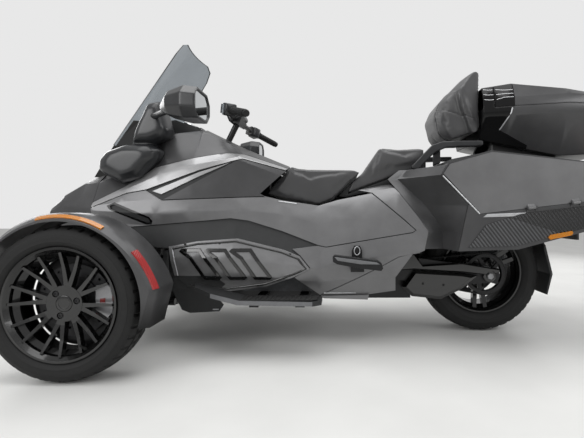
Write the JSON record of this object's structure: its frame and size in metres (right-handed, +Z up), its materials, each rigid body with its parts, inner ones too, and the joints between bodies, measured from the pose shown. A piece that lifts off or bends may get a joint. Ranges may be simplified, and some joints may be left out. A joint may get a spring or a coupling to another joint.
{
  "type": "motorized trike",
  "caption": "Touring motor trike with two steered front wheels, one driven rear wheel, screen, two-up seat, side cases and a top case.",
  "frame": {"origin": "on the floor, below the middle of the bounding box", "axes": "+X to the rear, +Y to the rider's right, +Z up"},
  "size_m": [2.833, 1.554, 1.4479],
  "materials": {
    "body_dark": "satin asphalt grey",
    "body_grey": "satin asphalt grey",
    "body_silver": "satin silver grey",
    "black_gloss": "gloss",
    "black_plastic": "matt grained",
    "black_metal": "satin black",
    "wheel_black": "satin black",
    "engine_alloy": "cast",
    "steel": "brushed",
    "disc_steel": "brushed",
    "seat_vinyl": "grained",
    "grip_rubber": "matt",
    "belt_rubber": "matt",
    "tyre": "matt",
    "amber_lens": "gloss",
    "red_lens": "gloss",
    "clear_lens": "gloss",
    "screen": "gloss",
    "mirror": "mirror"
  },
  "bodies": {
    "chassis": {"backrest": "seat_vinyl", "belt_cover": "black_gloss", "case_trims": "black_plastic", "column_panels": "body_dark", "dash": "black_plastic", "drive_belt": "belt_rubber", "driver_seat": "seat_vinyl", "engine": "engine_alloy", "fairing_sides": "body_dark", "floorboards": "black_plastic", "frame": "black_metal", "front_bin": "black_plastic", "front_suspension": "black_metal", "grab_handles": "black_plastic", "grille": "black_plastic", "headlamps": "clear_lens", "lower_side_panels": "body_dark", "mid_panels": "body_grey", "mirror_glass": "mirror", "mirrors": "body_dark", "muffler": "steel", "nose": "body_dark", "passenger_pegs": "black_metal", "passenger_seat": "seat_vinyl", "rear_fender": "black_plastic", "screen_cowl": "black_gloss", "shoulder_panels": "body_silver", "side_cases": "body_grey", "side_liners": "black_plastic", "side_pods": "black_gloss", "swingarm": "black_metal", "tail_body": "black_plastic", "tail_lamps": "red_lens", "tank_cover": "body_dark", "top_case_base": "body_grey", "vent_panels": "body_silver", "vent_trims": "black_gloss", "windshield": "screen"},
    "handlebar": {"handlebar": "black_metal", "grips": "grip_rubber"},
    "knuckle_left": {"knuckle_left": "black_metal", "fender_left": "body_dark", "fender_lamps_left": "amber_lens"},
    "knuckle_right": {"knuckle_right": "black_metal", "fender_right": "body_dark", "fender_lamps_right": "amber_lens"},
    "track_rods": {"tie_rods": "steel"},
    "wheel_left": {"tyre_left": "tyre", "rim_left": "wheel_black", "disc_left": "disc_steel"},
    "wheel_right": {"tyre_right": "tyre", "rim_right": "wheel_black", "disc_right": "disc_steel"},
    "wheel_rear": {"tyre_rear": "tyre", "rim_rear": "wheel_black", "rear_drive": "black_metal"},
    "hood": {"frunk_lid": "body_dark"},
    "topcase_lid": {"top_case_lid": "body_grey"},
    "door_left": {"case_door_left": "body_grey"},
    "door_right": {"case_door_right": "body_grey"}
  },
  "joints": [
    {"name": "steering", "type": "hinge", "parent": "chassis", "child": "handlebar", "pos_m": [-0.72, 0, 0.8], "axis": [0.4384, 0, 0.8988], "range_deg": [-32, 32]},
    {"name": "steer_left", "type": "hinge", "parent": "chassis", "child": "knuckle_left", "pos_m": [-1.0165, -0.585, 0.281], "axis": [0, 0, 1], "range_deg": [-25.7, 25.7]},
    {"name": "steer_right", "type": "hinge", "parent": "chassis", "child": "knuckle_right", "pos_m": [-1.0165, 0.585, 0.281], "axis": [0, 0, 1], "range_deg": [-25.7, 25.7]},
    {"name": "rack_slide", "type": "slide", "parent": "chassis", "child": "track_rods", "axis": [0, 1, 0], "range_m": [-0.048, 0.048]},
    {"name": "roll_left", "type": "hinge", "parent": "knuckle_left", "child": "wheel_left", "pos_m": [-1.0165, -0.692, 0.281], "axis": [0, 1, 0], "continuous": true},
    {"name": "roll_right", "type": "hinge", "parent": "knuckle_right", "child": "wheel_right", "pos_m": [-1.0165, 0.692, 0.281], "axis": [0, 1, 0], "continuous": true},
    {"name": "roll_rear", "type": "hinge", "parent": "chassis", "child": "wheel_rear", "pos_m": [0.6975, 0, 0.303], "axis": [0, 1, 0], "continuous": true},
    {"name": "hood_hinge", "type": "hinge", "parent": "chassis", "child": "hood", "pos_m": [-1.384, 0, 0.612], "axis": [0, -1, 0], "range_deg": [0, 60]},
    {"name": "topcase_hinge", "type": "hinge", "parent": "chassis", "child": "topcase_lid", "pos_m": [0.7, 0, 1.219], "axis": [0, -1, 0], "range_deg": [0, 55]},
    {"name": "door_left_hinge", "type": "hinge", "parent": "chassis", "child": "door_left", "pos_m": [0.734, -0.4945, 0.624], "axis": [0.9932, 0, 0.1162], "range_deg": [0, 60]},
    {"name": "door_right_hinge", "type": "hinge", "parent": "chassis", "child": "door_right", "pos_m": [0.734, 0.4945, 0.624], "axis": [-0.9932, 0, -0.1162], "range_deg": [0, 60]}
  ],
  "couplings": [
    {"joint": "steer_left", "follows": "steering", "ratio": 0.8},
    {"joint": "steer_right", "follows": "steering", "ratio": 0.8},
    {"joint": "rack_slide", "follows": "steering", "m_per_rad": 0.085}
  ]
}
